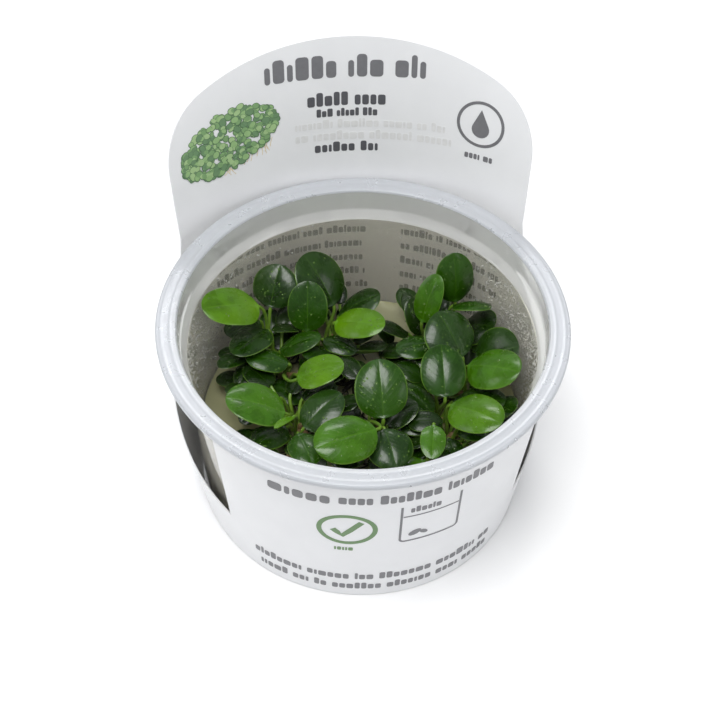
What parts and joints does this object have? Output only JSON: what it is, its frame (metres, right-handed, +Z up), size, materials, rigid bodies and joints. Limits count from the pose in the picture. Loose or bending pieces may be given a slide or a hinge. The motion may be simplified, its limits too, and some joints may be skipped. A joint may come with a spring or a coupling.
{
  "type": "anubias plant cup",
  "caption": "Round translucent plastic cup of dwarf anubias plants rooted in nutrient gel, wrapped in a plain card sleeve with side windows and an arched header.",
  "frame": {"origin": "centre of the flat underside of the cup", "axes": "+Z up along the cup's axis, +Y towards the tall header at the back, -Y towards the card's front panel"},
  "size_m": [0.095, 0.1007, 0.0935],
  "materials": {
    "cup_plastic": "translucent moulded polypropylene, satin",
    "printed_card": "smooth white card with dark grey and green print",
    "nutrient_gel": "clear straw-coloured agar gel, wet",
    "rhizome_skin": "rough olive-brown stem skin",
    "young_leaf": "waxy bright yellow-green leaf",
    "old_leaf": "waxy dark green leaf"
  },
  "bodies": {
    "root": {"cup": "cup_plastic", "label_sleeve": "printed_card", "gel": "nutrient_gel", "rhizome_a": "rhizome_skin", "leaf_a1": "young_leaf", "leaf_a2": "old_leaf", "leaf_a3": "old_leaf", "leaf_a4": "old_leaf", "leaf_a5": "old_leaf", "leaf_a6": "old_leaf", "leaf_a7": "old_leaf", "leaf_a8": "young_leaf", "rhizome_b": "rhizome_skin", "leaf_b1": "old_leaf", "leaf_b2": "old_leaf", "leaf_b3": "young_leaf", "leaf_b4": "old_leaf", "leaf_b5": "old_leaf", "leaf_b6": "old_leaf", "rhizome_c": "rhizome_skin", "leaf_c1": "young_leaf", "leaf_c2": "old_leaf", "leaf_c3": "old_leaf", "leaf_c4": "young_leaf", "leaf_c5": "old_leaf", "leaf_c6": "old_leaf", "rhizome_d": "rhizome_skin", "leaf_d1": "young_leaf", "leaf_d2": "old_leaf", "leaf_d3": "old_leaf", "leaf_d4": "old_leaf", "rhizome_e": "rhizome_skin", "leaf_e1": "old_leaf", "leaf_e2": "young_leaf", "leaf_e3": "old_leaf", "leaf_e4": "old_leaf", "leaf_e5": "old_leaf", "leaf_e6": "old_leaf", "rhizome_f": "rhizome_skin", "leaf_f1": "old_leaf", "leaf_f2": "old_leaf", "leaf_f3": "young_leaf", "rhizome_g": "rhizome_skin", "leaf_g1": "young_leaf", "leaf_g2": "old_leaf", "leaf_g3": "old_leaf", "leaf_g4": "old_leaf", "leaf_g5": "old_leaf", "leaf_g6": "old_leaf", "leaf_g7": "old_leaf", "leaf_g8": "old_leaf", "rhizome_h": "rhizome_skin", "leaf_h1": "young_leaf", "leaf_h2": "young_leaf"}
  },
  "joints": []
}
